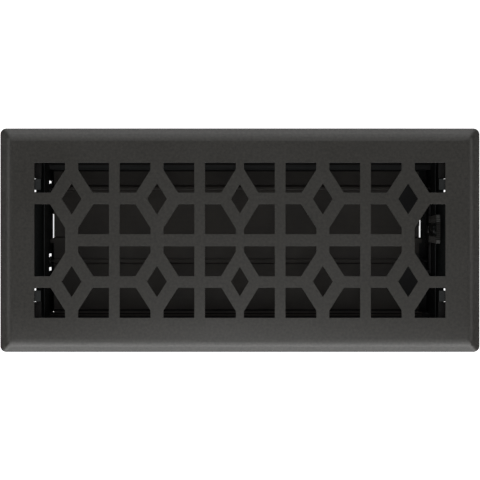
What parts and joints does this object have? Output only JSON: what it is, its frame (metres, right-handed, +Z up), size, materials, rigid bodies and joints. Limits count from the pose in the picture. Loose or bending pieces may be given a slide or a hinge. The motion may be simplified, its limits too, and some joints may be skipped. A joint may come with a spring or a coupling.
{
  "type": "floor register",
  "caption": "Rectangular floor register: a bevelled steel face with a diamond-and-bar lattice over a damper box whose parallel blades open by a thumb lever.",
  "frame": {"origin": "middle of the rim's underside, in the plane of the floor that the face rests on", "axes": "+X along the face towards the thumb lever, +Y across it towards the rear blade, +Z up out of the floor"},
  "size_m": [0.295, 0.1376, 0.06],
  "materials": {
    "face_coat": "fine-textured powder coat, dark warm grey",
    "box_paint": "satin black paint on folded sheet steel",
    "blade_paint": "satin dark grey paint on sheet steel",
    "black_plastic": "moulded, fine matt grain",
    "dark_steel": "drawn wire and pressed sheet, black-oxide finish"
  },
  "bodies": {
    "register_frame": {"face_plate": "face_coat", "rear_side_wall": "box_paint", "front_side_wall": "box_paint", "left_end_plate": "box_paint", "right_end_plate": "box_paint", "left_rear_bush": "black_plastic", "left_front_bush": "black_plastic", "right_rear_bush": "black_plastic", "right_front_bush": "black_plastic", "lever_pin": "dark_steel", "lever_spacer": "black_plastic", "friction_washer": "dark_steel"},
    "rear_damper": {"rear_blade": "blade_paint", "rear_rod": "dark_steel", "rear_rod_clips": "dark_steel", "rear_crank": "black_plastic"},
    "front_damper": {"front_blade": "blade_paint", "front_rod": "dark_steel", "front_rod_clips": "dark_steel", "front_crank": "black_plastic"},
    "link": {"link_bar": "black_plastic", "drive_pin": "dark_steel"},
    "lever": {"thumb_lever": "black_plastic"}
  },
  "joints": [
    {"name": "rear_blade_swing", "type": "hinge", "parent": "register_frame", "child": "rear_damper", "pos_m": [0, 0.0335, -0.04], "axis": [-1, 0, 0], "range_deg": [0, 80]},
    {"name": "front_blade_swing", "type": "hinge", "parent": "register_frame", "child": "front_damper", "pos_m": [0, -0.0135, -0.04], "axis": [-1, 0, 0], "range_deg": [0, 80]},
    {"name": "link_swing", "type": "hinge", "parent": "rear_damper", "child": "link", "pos_m": [0.1211, 0.02707, -0.03234], "axis": [-1, 0, 0], "range_deg": [-80, 0]},
    {"name": "lever_swing", "type": "hinge", "parent": "register_frame", "child": "lever", "pos_m": [0.1193, 0.0068, -0.016], "axis": [-1, 0, 0], "range_deg": [-43, 0]}
  ],
  "couplings": [
    {"joint": "front_blade_swing", "follows": "rear_blade_swing", "ratio": 1},
    {"joint": "link_swing", "follows": "rear_blade_swing", "ratio": -1},
    {"joint": "lever_swing", "follows": "rear_blade_swing", "ratio": -0.5368}
  ]
}
